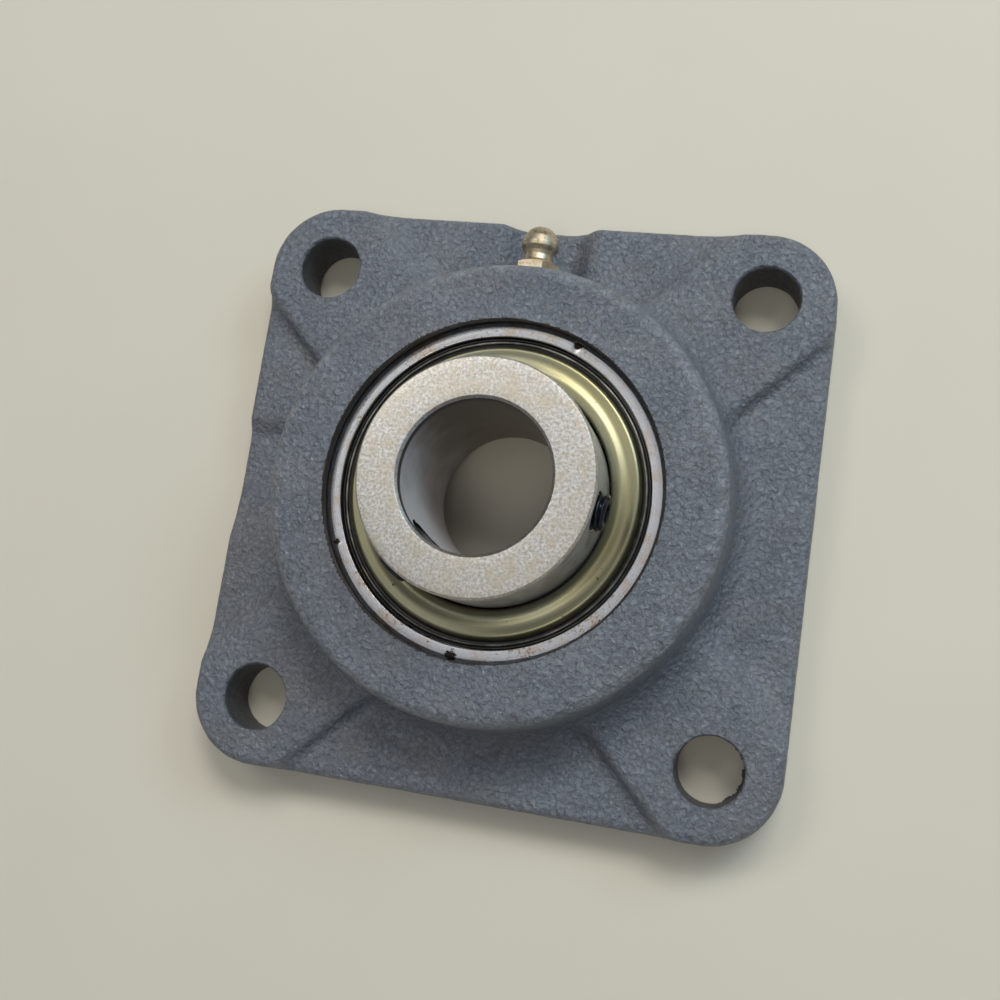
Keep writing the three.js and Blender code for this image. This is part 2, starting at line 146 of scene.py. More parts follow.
def rounded(corners, steps=4):
    """The closed outline through (radius, height, rounding) corners, with each corner rounded."""
    outline = []
    for i, (r, z, rounding) in enumerate(corners):
        here = np.array([r, z], float)
        if rounding == 0:
            outline.append(here)
            continue
        back = unit(np.array(corners[i - 1][:2]) - here)
        ahead = unit(np.array(corners[(i + 1) % len(corners)][:2]) - here)
        half = math.acos(np.clip(back @ ahead, -1, 1)) / 2
        centre = here + unit(back + ahead) * rounding / math.sin(half)
        start = here + back * rounding / math.tan(half) - centre
        end = here + ahead * rounding / math.tan(half) - centre
        sweep = math.pi - 2 * half
        for t in np.linspace(0, 1, steps + 1):
            mixed = start * math.sin((1 - t) * sweep) + end * math.sin(t * sweep)
            outline.append(centre + mixed / math.sin(sweep))
    return np.array(outline)


def split_long(outline, longest):
    """The same closed outline with extra points wherever an edge is longer than longest."""
    points = []
    for here, ahead in zip(outline, np.roll(outline, -1, axis=0)):
        parts = max(1, math.ceil(np.linalg.norm(ahead - here) / longest))
        points += [here + (ahead - here) * k / parts for k in range(parts)]
    return np.array(points)


def mirror_outline(outline):
    """The outline mirrored about the bearing's middle plane, still anticlockwise."""
    return outline[::-1] * [1, -1]


def sheet_outline(centreline, thickness):
    """Outline of a pressed sheet that follows a line of (radius, height) points outwards."""
    line = np.array(centreline, float)
    along = np.gradient(line, axis=0)
    along /= np.linalg.norm(along, axis=1)[:, None]
    side = np.stack([-along[:, 1], along[:, 0]], 1) * thickness / 2
    return np.concatenate([line - side, (line + side)[::-1]])


# ---- meshes


def add_object(name, mesh):
    made = bpy.data.objects.new(name, mesh)
    bpy.context.scene.collection.objects.link(made)
    return made


def mesh_object(name, points, faces, sharp_angle=35):
    """An object from points in millimetres, shaded smooth between its sharp edges."""
    mesh = bpy.data.meshes.new(name)
    mesh.from_pydata((np.asarray(points, float) * MM).tolist(), [], faces)
    mesh.update()
    mesh.shade_smooth()
    mesh.set_sharp_from_angle(angle=math.radians(sharp_angle))
    return add_object(name, mesh)


def sweep_quads(rows, sides, closed=False):
    """Quads between the rows of points of a swept shape, whose last row may join its first."""
    return [
        [i * sides + k, j * sides + k, j * sides + (k + 1) % sides, i * sides + (k + 1) % sides]
        for i, j in ((i, (i + 1) % rows) for i in range(rows if closed else rows - 1))
        for k in range(sides)
    ]


def lathe_data(outline, segments):
    """Points and faces of a closed anticlockwise outline turned about +Z."""
    outline = np.asarray(outline, float)
    angles = np.arange(segments) * 2 * math.pi / segments
    points, rows = [], []
    for r, z in outline:
        if r < 1e-9:
            rows.append([len(points)] * segments)
            points.append((0, 0, z))
        else:
            rows.append(list(range(len(points), len(points) + segments)))
            points += [(r * math.cos(a), r * math.sin(a), z) for a in angles]
    faces = []
    for low, high in zip(rows, rows[1:] + rows[:1]):
        for k in range(segments):
            after = (k + 1) % segments
            ring = [low[k], low[after], high[after], high[k]]
            face = list(dict.fromkeys(ring))
            if len(face) > 2:
                faces.append(face)
    return np.array(points), faces


def lathe(name, outline, segments=192, lift=0.0):
    points, faces = lathe_data(outline, segments)
    return mesh_object(name, points + [0, 0, lift], faces)


def transform(piece, matrix):
    """Moves a piece's own points, so that its object stays at the origin."""
    piece.data.transform(matrix)
    return piece


def box_cutter(low, high):
    """A plain box between two corners, for cutting only."""
    corners = [(x, y, z) for x in (low[0], high[0]) for y in (low[1], high[1]) for z in (low[2], high[2])]
    faces = [(0, 1, 3, 2), (4, 6, 7, 5), (0, 4, 5, 1), (2, 3, 7, 6), (0, 2, 6, 4), (1, 5, 7, 3)]
    return mesh_object("cutter", corners, faces)


def combine(piece, other, operation, sharp_angle):
    """Cuts, joins or intersects piece with other, which is used up."""
    modifier = piece.modifiers.new("boolean", "BOOLEAN")
    modifier.operation = operation
    modifier.solver = "MANIFOLD"
    modifier.object = other
    graph = bpy.context.evaluated_depsgraph_get()
    mesh = bpy.data.meshes.new_from_object(piece.evaluated_get(graph))
    piece.modifiers.clear()
    old = piece.data
    piece.data = mesh
    bpy.data.meshes.remove(old)
    mesh.name = piece.name
    bpy.data.objects.remove(other)
    mesh.shade_smooth()
    mesh.set_sharp_from_angle(angle=math.radians(sharp_angle))
    return piece


def cut(piece, *cutters, sharp_angle=35):
    for cutter in cutters:
        combine(piece, cutter, "DIFFERENCE", sharp_angle)
    return piece


def along_y(height=BEARING_Z):
    """Turns a shape made about +Z to lie along +Y at the given height."""
    return Matrix.Translation((0, 0, height * MM)) @ Matrix.Rotation(-math.pi / 2, 4, "X")


# ---- distance fields

CAST_STEP = 0.5
CAST_GRAIN = 0.15
CAST_SKIRT = 1.5  # how far the casting runs on below the mounting face before it is machined off
NET_CORNERS = [(i, j, k) for i in (0, 1) for j in (0, 1) for k in (0, 1)]


def rounded_max(a, b, radius):
    """Intersection of two distance fields, with its outer edge rounded."""
    bulge = np.hypot(np.maximum(radius + a, 0), np.maximum(radius + b, 0))
    return np.minimum(-radius, np.maximum(a, b)) + bulge


def rounded_min(a, b, radius):
    """Union of two distance fields, with its inner edge filleted."""
    return -rounded_max(-a, -b, radius)


def plate_side(x, y, z):
    """Distance from the flange's drafted rounded-square side."""
    inner = PLATE_HALF - PLATE_DRAFT * z - PLATE_CORNER
    across = np.abs(x) - inner
    along = np.abs(y) - inner
    outside = np.hypot(np.maximum(across, 0), np.maximum(along, 0))
    return outside + np.minimum(np.maximum(across, along), 0) - PLATE_CORNER


def pad_band(off_line, z):
    """Distance from the sloped sides of one diagonal band: off_line is positive on its +Y side."""
    slope = np.where(off_line > 0, PAD_SOFT_SLOPE, PAD_STEEP_SLOPE)
    return (np.abs(off_line) - PAD_HALF_WIDTH - (PAD_TOP - z) * slope) / np.hypot(1, slope)


def ramp_side(distance, z, foot, floor, slope):
    """Distance from one sloped wall of a notch: slope is its run for each millimetre of rise."""
    return (distance - foot - (z - floor) * slope) / math.hypot(1, slope)


def top_notch(x, y, z):
    """The deep notch in front of the grease fitting."""
    floor = 4.5
    walls = ramp_side(np.abs(x), z, 5.3, floor, 0.74)
    return np.maximum(rounded_max(floor - z, walls, 1.4), 20 - y)


def side_notch(x, y, z):
    """The shallow notch on the -X side: steep on its +Y side, a long ramp on the other."""
    floor = 6.8
    steep = ramp_side(y, z, 8.7, floor, 0.8)
    ramp = ramp_side(-y, z, 7.4, floor, 2.6)
    return np.maximum(rounded_max(floor - z, np.maximum(steep, ramp), 1.2), x + 20)


def hub_field(x, y, z):
    radius = np.hypot(x, y)
    wall_radius = HUB_SHOULDER_RADIUS + (HUB_TOP - HUB_EDGE_ROUND - z) * math.tan(HUB_DRAFT)
    wall = (radius - wall_radius) * math.cos(HUB_DRAFT)
    return rounded_max(wall, z - HUB_TOP, HUB_EDGE_ROUND)


def casting_field(x, y, z):
    """Signed distance of the casting before it is machined."""
    bands = np.minimum(pad_band((y - x) / math.sqrt(2), z), pad_band((y + x) / math.sqrt(2), z))
    pads = rounded_max(bands, z - PAD_TOP, 1.2)
    top = rounded_min(z - WEB_TOP, pads, 1.2)
    plate = rounded_max(plate_side(x, y, z), top, 1.5)
    plate = rounded_max(plate, -top_notch(x, y, z), 1.5)
    plate = rounded_max(plate, -side_notch(x, y, z), 1.2)
    body = rounded_min(plate, hub_field(x, y, z), HUB_FILLET)
    return np.maximum(body, -CAST_SKIRT - z)


def net_points(values, cells):
    """One point in each crossed cell: the mean of where the surface meets the cell's edges."""
    total = np.zeros((len(cells), 3))
    hits = np.zeros(len(cells))
    for a in NET_CORNERS:
        for axis in range(3):
            if a[axis]:
                continue
            step = np.eye(3, dtype=int)[axis]
            near = values[tuple((cells + a).T)]
            far = values[tuple((cells + a + step).T)]
            crossed = (near < 0) != (far < 0)
            share = np.where(crossed, near / np.where(crossed, near - far, 1), 0)
            total += crossed[:, None] * (np.array(a) + share[:, None] * step)
            hits += crossed
    return total / hits[:, None]


def surface_net(values, origin, step):
    """Quads over the zero level of a grid of distances."""
    inside = values < 0
    shape = np.array(values.shape) - 1
    count = sum(
        inside[i : shape[0] + i, j : shape[1] + j, k : shape[2] + k].astype(np.int8)
        for i, j, k in NET_CORNERS
    )
    active = (count > 0) & (count < 8)
    index = np.full(active.shape, -1)
    index[active] = np.arange(active.sum())
    cells = np.argwhere(active)
    points = np.array(origin) + step * (cells + net_points(values, cells))
    quads = []
    for axis in range(3):
        u = np.eye(3, dtype=int)[(axis + 1) % 3]
        v = np.eye(3, dtype=int)[(axis + 2) % 3]
        low = np.take(inside, range(values.shape[axis] - 1), axis)
        high = np.take(inside, range(1, values.shape[axis]), axis)
        nodes = np.argwhere(low != high)
        leaving = low[tuple(nodes.T)]
        around = [index[tuple((nodes - s).T)] for s in (u + v, v, 0 * u, u)]
        loop = np.stack(around, 1)
        loop[~leaving] = loop[~leaving][:, ::-1]
        quads.append(loop)
    return points, np.concatenate(quads)


def slope_of(field, points, probe=0.02):
    """Gradient of a field at each point."""
    slope = np.empty_like(points)
    for axis in range(3):
        offset = np.zeros(3)
        offset[axis] = probe
        ahead = field(*(points + offset).T)
        behind = field(*(points - offset).T)
        slope[:, axis] = (ahead - behind) / (2 * probe)
    return slope


def neighbour_mean(points, quads):
    """Mean of the neighbours of each point along the quads' edges."""
    total = np.zeros_like(points)
    count = np.zeros(len(points))
    for k in range(4):
        for near, far in ((quads[:, k], quads[:, k - 1]), (quads[:, k - 1], quads[:, k])):
            count += np.bincount(near, minlength=len(points))
            for axis in range(3):
                total[:, axis] += np.bincount(near, points[far, axis], len(points))
    return total / count[:, None]


def settle(field, points, quads, rounds=4):
    """Evens the mesh out along the surface and moves every point onto the zero level."""
    for _ in range(rounds):
        slope = slope_of(field, points)
        normal = slope / np.linalg.norm(slope, axis=1)[:, None]
        pull = neighbour_mean(points, quads) - points
        points = points + 0.6 * (pull - (pull * normal).sum(1)[:, None] * normal)
        for _ in range(2):
            slope = slope_of(field, points)
            value = field(*points.T)
            points = points - slope * (value / (slope**2).sum(1))[:, None]
    return points, normal


def grain(points, size, octaves):
    """Fractal noise at each point, from about -1 to 1, with lumps of the given size."""
    return np.array([noise.fractal(Vector(p) / size, 1.0, 2.0, octaves) for p in points])


def casting():
    """The rough casting, with its moulding-sand grain pressed into the surface."""
    reach = math.ceil(PLATE_HALF) + 1.0
    span = np.arange(-reach, reach + CAST_STEP, CAST_STEP)
    heights = np.arange(-CAST_SKIRT - 2 * CAST_STEP, HUB_TOP + 2 * CAST_STEP, CAST_STEP)
    values = casting_field(span[:, None, None], span[None, :, None], heights[None, None, :])
    points, quads = surface_net(values, (span[0], span[0], heights[0]), CAST_STEP)
    points, normal = settle(casting_field, points, quads)
    lumps = grain(points, 9.0, 2) * 0.5 + grain(points + 50, 1.7, 3) * 0.7
    depth = CAST_GRAIN * np.clip(0.5 - lumps * 0.5, 0, 1.2)
    points = points - normal * depth[:, None]
    return mesh_object("housing_cast", points, quads.tolist(), 60)


# ---- housing

SEAT_RADIUS = SPHERE_RADIUS + 0.05
CAST_SHARP = 42
FLASH_DEPTH = 0.8
FLASH_SPAN = 1.25  # in radians, to each side of +X
FLASH_TAPER = 1.25  # how fast it thins out towards its ends


def bore_cutter():
    """Mouth, spherical seat, grease channel and back bore."""
    edge = math.degrees(math.acos(MOUTH_RADIUS / SEAT_RADIUS))
    channel = math.degrees(math.asin(CHANNEL_HALF / SEAT_RADIUS))
    top = HUB_TOP - 0.1
    outline = rounded([
        (0, -6, 0), (MOUTH_RADIUS + 0.6, -6, 0), (MOUTH_RADIUS + 0.6, 0.1, 0),
        (MOUTH_RADIUS, 0.7, 0.1), *arc(0, BEARING_Z, SEAT_RADIUS, -edge, -channel),
        (CHANNEL_RADIUS, BEARING_Z - CHANNEL_HALF, 0.8),
        (CHANNEL_RADIUS, BEARING_Z + CHANNEL_HALF, 0.8),
        *arc(0, BEARING_Z, SEAT_RADIUS, channel, edge), (MOUTH_RADIUS, top - 0.1, 0.05),
        (MOUTH_RADIUS + 0.15, top + 0.05, 0), (MOUTH_RADIUS + 0.9, top + 2, 0), (0, top + 2, 0),
    ])
    return lathe("cutter", split_long(outline, 3.0)[:-1], 256)


def slot_cutter():
    """The two loading slots in the back bore, as one block across it."""
    half_width = OUTER_HALF + 0.3
    radius = SPHERE_RADIUS + 0.3
    turn = math.asin(half_width / radius)
    right = [(radius * math.cos(a), radius * math.sin(a)) for a in np.linspace(-turn, turn, 25)]
    outline = right + [(-x, -y) for x, y in right]
    count = len(outline)
    points = [(x, y, -4) for x, y in outline] + [(x, y, BEARING_Z) for x, y in outline]
    faces = [list(range(count))[::-1], list(range(count, 2 * count))]
    faces += [[k, (k + 1) % count, (k + 1) % count + count, k + count] for k in range(count)]
    return mesh_object("cutter", points, faces)


def flash_reach(angle):
    """How far the ragged flash at the foot of one bolt hole reaches in, round the hole."""
    window = math.cos(angle * FLASH_TAPER) if abs(angle) < FLASH_SPAN else 0.0
    broad = noise.noise(Vector((angle * 5, 1.3, 0)))
    narrow = noise.noise(Vector((angle * 16, 0, 9)))
    teeth = 0.7 * broad + 0.6 * narrow
    return FLASH_DEPTH * window**0.3 * np.clip(0.55 + teeth, 0.1, 1.1)


def bolt_hole_cutter(centre, has_flash):
    """A cored bolt hole with soft lips; one of them keeps a thin ragged flash at its foot."""
    radius = BOLT_HOLE_RADIUS
    outline = rounded([
        (0, -3, 0), (radius + 0.5, -3, 0), (radius + 0.5, 0.0, 0), (radius + 0.05, 0.55, 0.2),
        (radius - 0.05, 1.1, 0), (radius, PAD_TOP - 0.4, 0.3), (radius + 0.45, PAD_TOP + 0.1, 0),
        (radius + 1.5, PAD_TOP + 2, 0), (0, PAD_TOP + 2, 0),
    ])
    points, faces = lathe_data(split_long(outline, 1.2)[:-1], 120)
    for point in points:
        angle = math.atan2(point[1], point[0])
        reach = np.hypot(point[0], point[1])
        if reach < 1e-6:
            continue
        shrink = 0.12 * noise.noise(Vector((point[0], point[1], point[2])) * 0.35 + Vector(centre))
        if has_flash and point[2] < 1.0:
            shrink += flash_reach(angle)
        point[:2] *= (reach - shrink) / reach
    return mesh_object("cutter", points + [centre[0], centre[1], 0], faces, 60)


def fitting_hole_cutter():
    """Tapped hole with a small spot face, and the drilling on to the grease channel."""
    outline = rounded([
        (0, SPHERE_RADIUS - 1, 0), (1.5, SPHERE_RADIUS - 1, 0), (1.5, FITTING_LOW[1] - 0.6, 0),
        (2.95, FITTING_LOW[1] - 0.1, 0), (2.95, 40.0, 0), (3.3, 40.35, 0), (5.1, 40.4, 0.2),
        (5.4, 44.0, 0), (0, 44.0, 0),
    ])
    return transform(lathe("cutter", outline, 64), along_y())


def housing():
    body = casting()
    reach = PLATE_HALF + 10
    cut(
        body,
        box_cutter((-reach, -reach, -10), (reach, reach, 0)),
        bore_cutter(),
        slot_cutter(),
        *[bolt_hole_cutter(c, i == 3) for i, c in enumerate(BOLT_CENTRES)],
        fitting_hole_cutter(),
        sharp_angle=CAST_SHARP,
    )
    return body


def housing_finish(point):
    """Finish of a place on the housing: the mounting face is one polygon, centred in the bore."""
    if point.z < 0.001:
        return "machined_iron"
    radius = math.hypot(point.x, point.y)
    in_seat = radius < CHANNEL_RADIUS + 0.1 and point.z < HUB_TOP - 3
    return "bored_iron" if in_seat or radius < MOUTH_RADIUS + 0.2 else "cast_iron"


# ---- rings


def raceway(bottom_radius, shoulder_radius, side):
    """Arc points of a raceway: side is 1 in the outer ring and -1 in the inner ring."""
    centre = bottom_radius - side * GROOVE_RADIUS
    half = math.degrees(math.acos(abs(shoulder_radius - centre) / GROOVE_RADIUS))
    if side > 0:
        return arc(centre, 0, GROOVE_RADIUS, half, -half)
    return arc(centre, 0, GROOVE_RADIUS, 180 + half, 180 - half)


def dent(piece, centre, size, depth, inward):
    """Pushes the points within size of centre along inward, most at the middle, in millimetres."""
    middle = Vector(centre) * MM
    push = Vector(inward).normalized() * depth * MM
    for vertex in piece.data.vertices:
        near = 1 - (vertex.co - middle).length / (size * MM)
        if near > 0:
            vertex.co += push * near * near * (3 - 2 * near)


RING_NICKS = (  # angle in degrees, size and depth in millimetres
    (67, 0.6, 0.25),
    (264.5, 0.8, 0.1),
    (205, 0.5, 0.12),
)


def outer_ring():
    edge = math.degrees(math.asin((OUTER_HALF - 0.55) / SPHERE_RADIUS))
    seat_step = 6.1
    outline = rounded([
        (SEAL_SEAT_RADIUS, -OUTER_HALF, 0.2), (OUTER_FACE_RADIUS, -OUTER_HALF, 0.3),
        *arc(0, 0, SPHERE_RADIUS, -edge, edge, 24), (OUTER_FACE_RADIUS, OUTER_HALF, 0.3),
        (SEAL_SEAT_RADIUS, OUTER_HALF, 0.2), (SEAL_SEAT_RADIUS, seat_step, 0),
        (OUTER_SHOULDER_RADIUS, seat_step, 0.15),
        *raceway(PITCH_RADIUS + BALL_RADIUS + RACE_CLEARANCE, OUTER_SHOULDER_RADIUS, 1),
        (OUTER_SHOULDER_RADIUS, -seat_step, 0.15), (SEAL_SEAT_RADIUS, -seat_step, 0),
    ])
    ring = lathe("outer_ring_fine", outline, 480, BEARING_Z)
    front = BEARING_Z + OUTER_HALF
    for angle, size, depth in RING_NICKS:
        outward = Vector((math.cos(math.radians(angle)), math.sin(math.radians(angle)), 0))
        edge_point = (*(outward.xy * (OUTER_FACE_RADIUS - 0.1)), front)
        dent(ring, edge_point, size, depth, Vector((0, 0, -1)) - outward * 0.3)
    hole = lathe("cutter", [(0, 24), (0.9, 24), (0.9, 33), (0, 33)], 24)
    return cut(ring, transform(hole, along_y(BEARING_Z - 5)), sharp_angle=35)


def thread_outline(radius, start, end, pitch, depth):
    """Corners of a ringed, thread-like wall along the axis."""
    corners = []
    count = int((end - start) / pitch)
    for k in range(count):
        low = start + k * pitch
        corners += [(radius - depth, low, 0), (radius, low + pitch * 0.5, 0)]
    corners.append((radius - depth, start + count * pitch, 0))
    return corners


SCREW_AXES = [-slide_axis("screw_1_travel"), -slide_axis("screw_2_travel")]
SCREW_Z = (SCREW_LOW[2] + SCREW_HIGH[2]) / 2
SCREW_RADIUS = (SCREW_HIGH[2] - SCREW_LOW[2]) / 2
SCREW_ENDS = (21.5, 20.7)  # outer ends, from the shaft axis
SCREW_LENGTH = 6.5
HEX_SOCKET = 1.83  # from the screw's axis to the socket's corners
THREAD_PITCH = 0.907


def along_screw(axis):
    """Turns a shape made about +Z to lie along a set screw's outward axis."""
    return Matrix.Translation((0, 0, SCREW_Z * MM)) @ axis.to_track_quat("Z", "Y").to_matrix().to_4x4()


def screw_hole_cutter(axis):
    """Tapped hole with a small countersink at the ring's outside."""
    lip = INNER_RADIUS - 0.15
    corners = [(0, SHAFT_RADIUS - 3, 0)]
    corners += thread_outline(SCREW_RADIUS + 0.28, SHAFT_RADIUS - 3, lip - 0.3, THREAD_PITCH, 0.22)
    corners += [(SCREW_RADIUS + 0.1, lip - 0.3, 0), (SCREW_RADIUS + 0.9, lip + 0.6, 0)]
    corners += [(SCREW_RADIUS + 0.9, lip + 3, 0), (0, lip + 3, 0)]
    return transform(lathe("cutter", rounded(corners), 96), along_screw(axis))


INNER_RING_FINISHES = ("inner_ring_steel", "ring_side_steel", "bore_steel", "tapped_steel")


def inner_ring_finish(point):
    """Finish of a place on the inner ring: ground face, turned side, honed bore or tapped hole."""
    radius = math.hypot(point.x, point.y)
    for axis in SCREW_AXES:
        from_axis = (point - Vector((0, 0, SCREW_Z))).cross(axis).length
        if from_axis < SCREW_RADIUS + 0.5 and SHAFT_RADIUS + 0.06 < radius < INNER_RADIUS - 0.2:
            return "tapped_steel"
    if radius > INNER_RADIUS - 0.2 and point.z < INNER_HIGH[2] - 0.3:
        return "ring_side_steel"
    return "bore_steel" if radius < SHAFT_RADIUS + 0.05 else "inner_ring_steel"


def inner_ring():
    bottom = PITCH_RADIUS - BALL_RADIUS - RACE_CLEARANCE
    outline = rounded([
        (SHAFT_RADIUS + 0.5, -INNER_BACK, 0.1), (INNER_RADIUS - 0.1, -INNER_BACK, 0.4),
        *raceway(bottom, INNER_RADIUS, -1), (INNER_RADIUS, INNER_FRONT - 0.5, 0.25),
        (INNER_RADIUS - 0.35, INNER_FRONT, 0.12), (SHAFT_RADIUS + 0.5, INNER_FRONT, 0.1),
        (SHAFT_RADIUS, INNER_FRONT - 0.5, 0.15), (SHAFT_RADIUS, -INNER_BACK + 0.5, 0.15),
    ])
    ring = lathe("inner_ring_fine", split_long(outline, 2.0), 288, BEARING_Z)
    return cut(ring, *[screw_hole_cutter(axis) for axis in SCREW_AXES], sharp_angle=30)


# ---- balls and cage


def quad_sphere(name, radius, centre, cuts=14):
    """A ball made from a cube's six faces, so that its quads are even all over."""
    grid = np.tan(np.linspace(-1, 1, cuts + 1) * math.pi / 4)
    built = bmesh.new()
    for axis in range(3):
        for side in (-1, 1):
            rows = []
            for a in grid:
                row = []
                for b in grid:
                    point = np.roll([side, a * side, b], axis)
                    row.append(built.verts.new(unit(point) * radius * MM))
                rows.append(row)
            for i in range(cuts):
                for j in range(cuts):
                    built.faces.new((rows[i][j], rows[i + 1][j], rows[i + 1][j + 1], rows[i][j + 1]))
    bmesh.ops.remove_doubles(built, verts=built.verts, dist=radius * MM * 1e-3)
    bmesh.ops.translate(built, verts=built.verts, vec=Vector(centre) * MM)
    mesh = bpy.data.meshes.new(name)
    built.to_mesh(mesh)
    built.free()
    mesh.shade_smooth()
    return add_object(name, mesh)


def ball_angle(index):
    """Angle of a ball, or with a half-step index of a rivet, about +Z."""
    return math.pi / 2 + index * 2 * math.pi / BALL_COUNT


def on_pitch_circle(index):
    angle = ball_angle(index)
    return (PITCH_RADIUS * math.cos(angle), PITCH_RADIUS * math.sin(angle), BEARING_Z)


CAGE_INNER = 21.7
CAGE_OUTER = 24.3
CAGE_GAP = 0.15
CAGE_SHEET = 0.7


def cage_height(from_ball, wrap, land):
    """Height of a cage surface: flat between the balls, arched over each of them."""
    arch = math.sqrt(max(wrap * wrap - from_ball * from_ball, 0))
    return (land**4 + arch**4) ** 0.25


def cage_half(name, side):
    """Half of the pressed ribbon cage, with a rivet hole on each flat."""
    segments = BALL_COUNT * 48
    pitch = 2 * math.pi / BALL_COUNT
    wrap = BALL_RADIUS + 0.3
    points = []
    for k in range(segments):
        angle = math.pi / 2 + k * 2 * math.pi / segments
        from_ball = PITCH_RADIUS * (angle - math.pi / 2 - pitch * round((angle - math.pi / 2) / pitch))
        under = cage_height(from_ball, wrap, CAGE_GAP)
        over = cage_height(from_ball, wrap + CAGE_SHEET, CAGE_GAP + CAGE_SHEET)
        inside = [(CAGE_INNER, under, 0.12), (CAGE_OUTER, under, 0.12)]
        outside = [(CAGE_OUTER, over, 0.25), (CAGE_INNER, over, 0.25)]
        section = rounded(inside + outside, 2)
        points += [(r * math.cos(angle), r * math.sin(angle), z) for r, z in section]
    half = mesh_object(name, points, sweep_quads(segments, len(points) // segments, closed=True))
    for index in range(BALL_COUNT):
        angle = ball_angle(index + 0.5)
        hole = lathe("cutter", [(0, -1), (0.85, -1), (0.85, 2), (0, 2)], 24)
        place = Vector((math.cos(angle), math.sin(angle), 0)) * PITCH_RADIUS * MM
        cut(half, transform(hole, Matrix.Translation(place)))
    if side < 0:
        transform(half, Matrix.Rotation(math.pi, 4, "Y"))
    return transform(half, Matrix.Translation((0, 0, BEARING_Z * MM)))


def rivet(name, index):
    """A short rivet with a domed head at each end."""
    under = CAGE_GAP + CAGE_SHEET + 0.12
    dome = [(r, z, 0) for r, z in ((1.15, under + 0.15), (1.0, under + 0.38), (0.6, under + 0.55))]
    upper = [(0.6, under, 0), (1.2, under, 0.05), *dome, (0, under + 0.6, 0)]
    lower = [(r, -z, c) for r, z, c in reversed(upper)]
    piece = lathe(name, rounded(lower + upper), 32)
    return transform(piece, Matrix.Translation(Vector(on_pitch_circle(index + 0.5)) * MM))


# ---- seals and flingers


def seal_outline():
    """Rubber-faced seal: a rim held in the outer ring, a sloping face and a lip at the shaft."""
    return rounded([
        (20.15, 6.35, 0.05), (20.9, 6.45, 0.2), (26.85, 6.4, 0.15), (27.0, 7.0, 0.1),
        (26.9, 7.75, 0.2), (26.65, 7.75, 0.1), (26.5, 7.35, 0.1), (26.42, 7.35, 0),
        (25.4, 7.15, 0.2), (22.0, 7.1, 0.3), (20.6, 7.0, 0.2),
    ])


def seal_rim_outline():
    """Bright bead of the seal's steel shell, which shows as a thin line round the flinger."""
    return rounded([(25.95, 7.2, 0.1), (26.4, 7.2, 0.1), (26.4, 7.9, 0.2), (26.0, 7.95, 0.2)])


def flinger_outline():
    """Pressed flinger: a collar on the ring, a low ridge, a shallow channel and a turned-down rim."""
    line = rounded(
        [
            (20.45, 7.4, 0),
            (20.6, 8.35, 0.6),
            (21.8, 8.75, 1.5),
            (23.3, 8.3, 3.0),
            (24.85, 8.55, 0.5),
            (25.35, 7.6, 0),
        ],
        8,
    )
    return sheet_outline(line, 0.5)


# ---- set screws


def threaded_rod(name, length, radius, pitch, depth, segments=72):
    """A rod along +Z from the origin with a helical thread that fades at both chamfered ends."""
    rows = int(length / pitch * 10)
    points, faces = [], []
    for i in range(rows + 1):
        z = length * i / rows
        end_limit = radius - max(0.0, 0.55 - (length - z)) * 0.9
        start_limit = radius - max(0.0, 1.1 - z) * 1.1
        for k in range(segments):
            angle = 2 * math.pi * k / segments
            phase = (z / pitch - k / segments) % 1.0
            crest = 1 - abs(2 * phase - 1)
            r = radius - depth * (1 - min(1.0, crest * 1.25))
            r = min(r, end_limit, start_limit)
            points.append((r * math.cos(angle), r * math.sin(angle), z))
    for i in range(rows):
        for k in range(segments):
            after = (k + 1) % segments
            low, high = i * segments, (i + 1) * segments
            faces.append([low + k, low + after, high + after, high + k])
    faces.append(list(range(segments))[::-1])
    faces.append(list(range(rows * segments, (rows + 1) * segments)))
    return mesh_object(name, points, faces, 40)


def set_screw(name, axis, end):
    """Cup point set screw: helical thread, hexagon socket and a hollowed point."""
    screw = threaded_rod(name, SCREW_LENGTH, SCREW_RADIUS - 0.02, THREAD_PITCH, 0.42)
    top = SCREW_LENGTH + 1
    lip_low, lip_high = SCREW_LENGTH - 0.3, SCREW_LENGTH + 0.1
    socket = [(0, 3.3), (1.0, 3.6), (HEX_SOCKET, 3.75), (HEX_SOCKET, top), (0, top)]
    lip = [(0, lip_low), (1.55, lip_low), (1.95, lip_high), (1.95, top), (0, top)]
    cup = [(0, -1), (1.3, -1), (1.3, -0.05), (0.3, 0.75), (0, 0.8)]
    cutters = [lathe("cutter", line, sides) for line, sides in ((socket, 6), (lip, 48), (cup, 48))]
    cut(screw, *cutters, sharp_angle=40)
    shift = Matrix.Translation((0, 0, (end - SCREW_LENGTH) * MM))
    return transform(screw, along_screw(axis) @ shift)


# ---- grease fitting

HEX_TURN = math.radians(-7)
HEX_CORNER_RADIUS = 4.58
HEX_BOTTOM, HEX_TOP = 40.45, 43.1


def hexagon(bottom, top):
    """The fitting's hexagon with its corners turned back at both ends."""
    walls = [(0, bottom), (HEX_CORNER_RADIUS, bottom), (HEX_CORNER_RADIUS, top), (0, top)]
    prism = lathe("hexagon", walls, 6)
    wide = HEX_CORNER_RADIUS + 0.1
    cone = [(0, bottom - 1), (3.9, bottom - 0.05), (wide, bottom + 0.3)]
    cone += [(wide, top - 0.45), (3.7, top + 0.08), (0, top + 0.12)]
    combine(prism, lathe("cone", cone, 96), "INTERSECT", 20)
    return transform(prism, Matrix.Rotation(HEX_TURN, 4, "Z"))


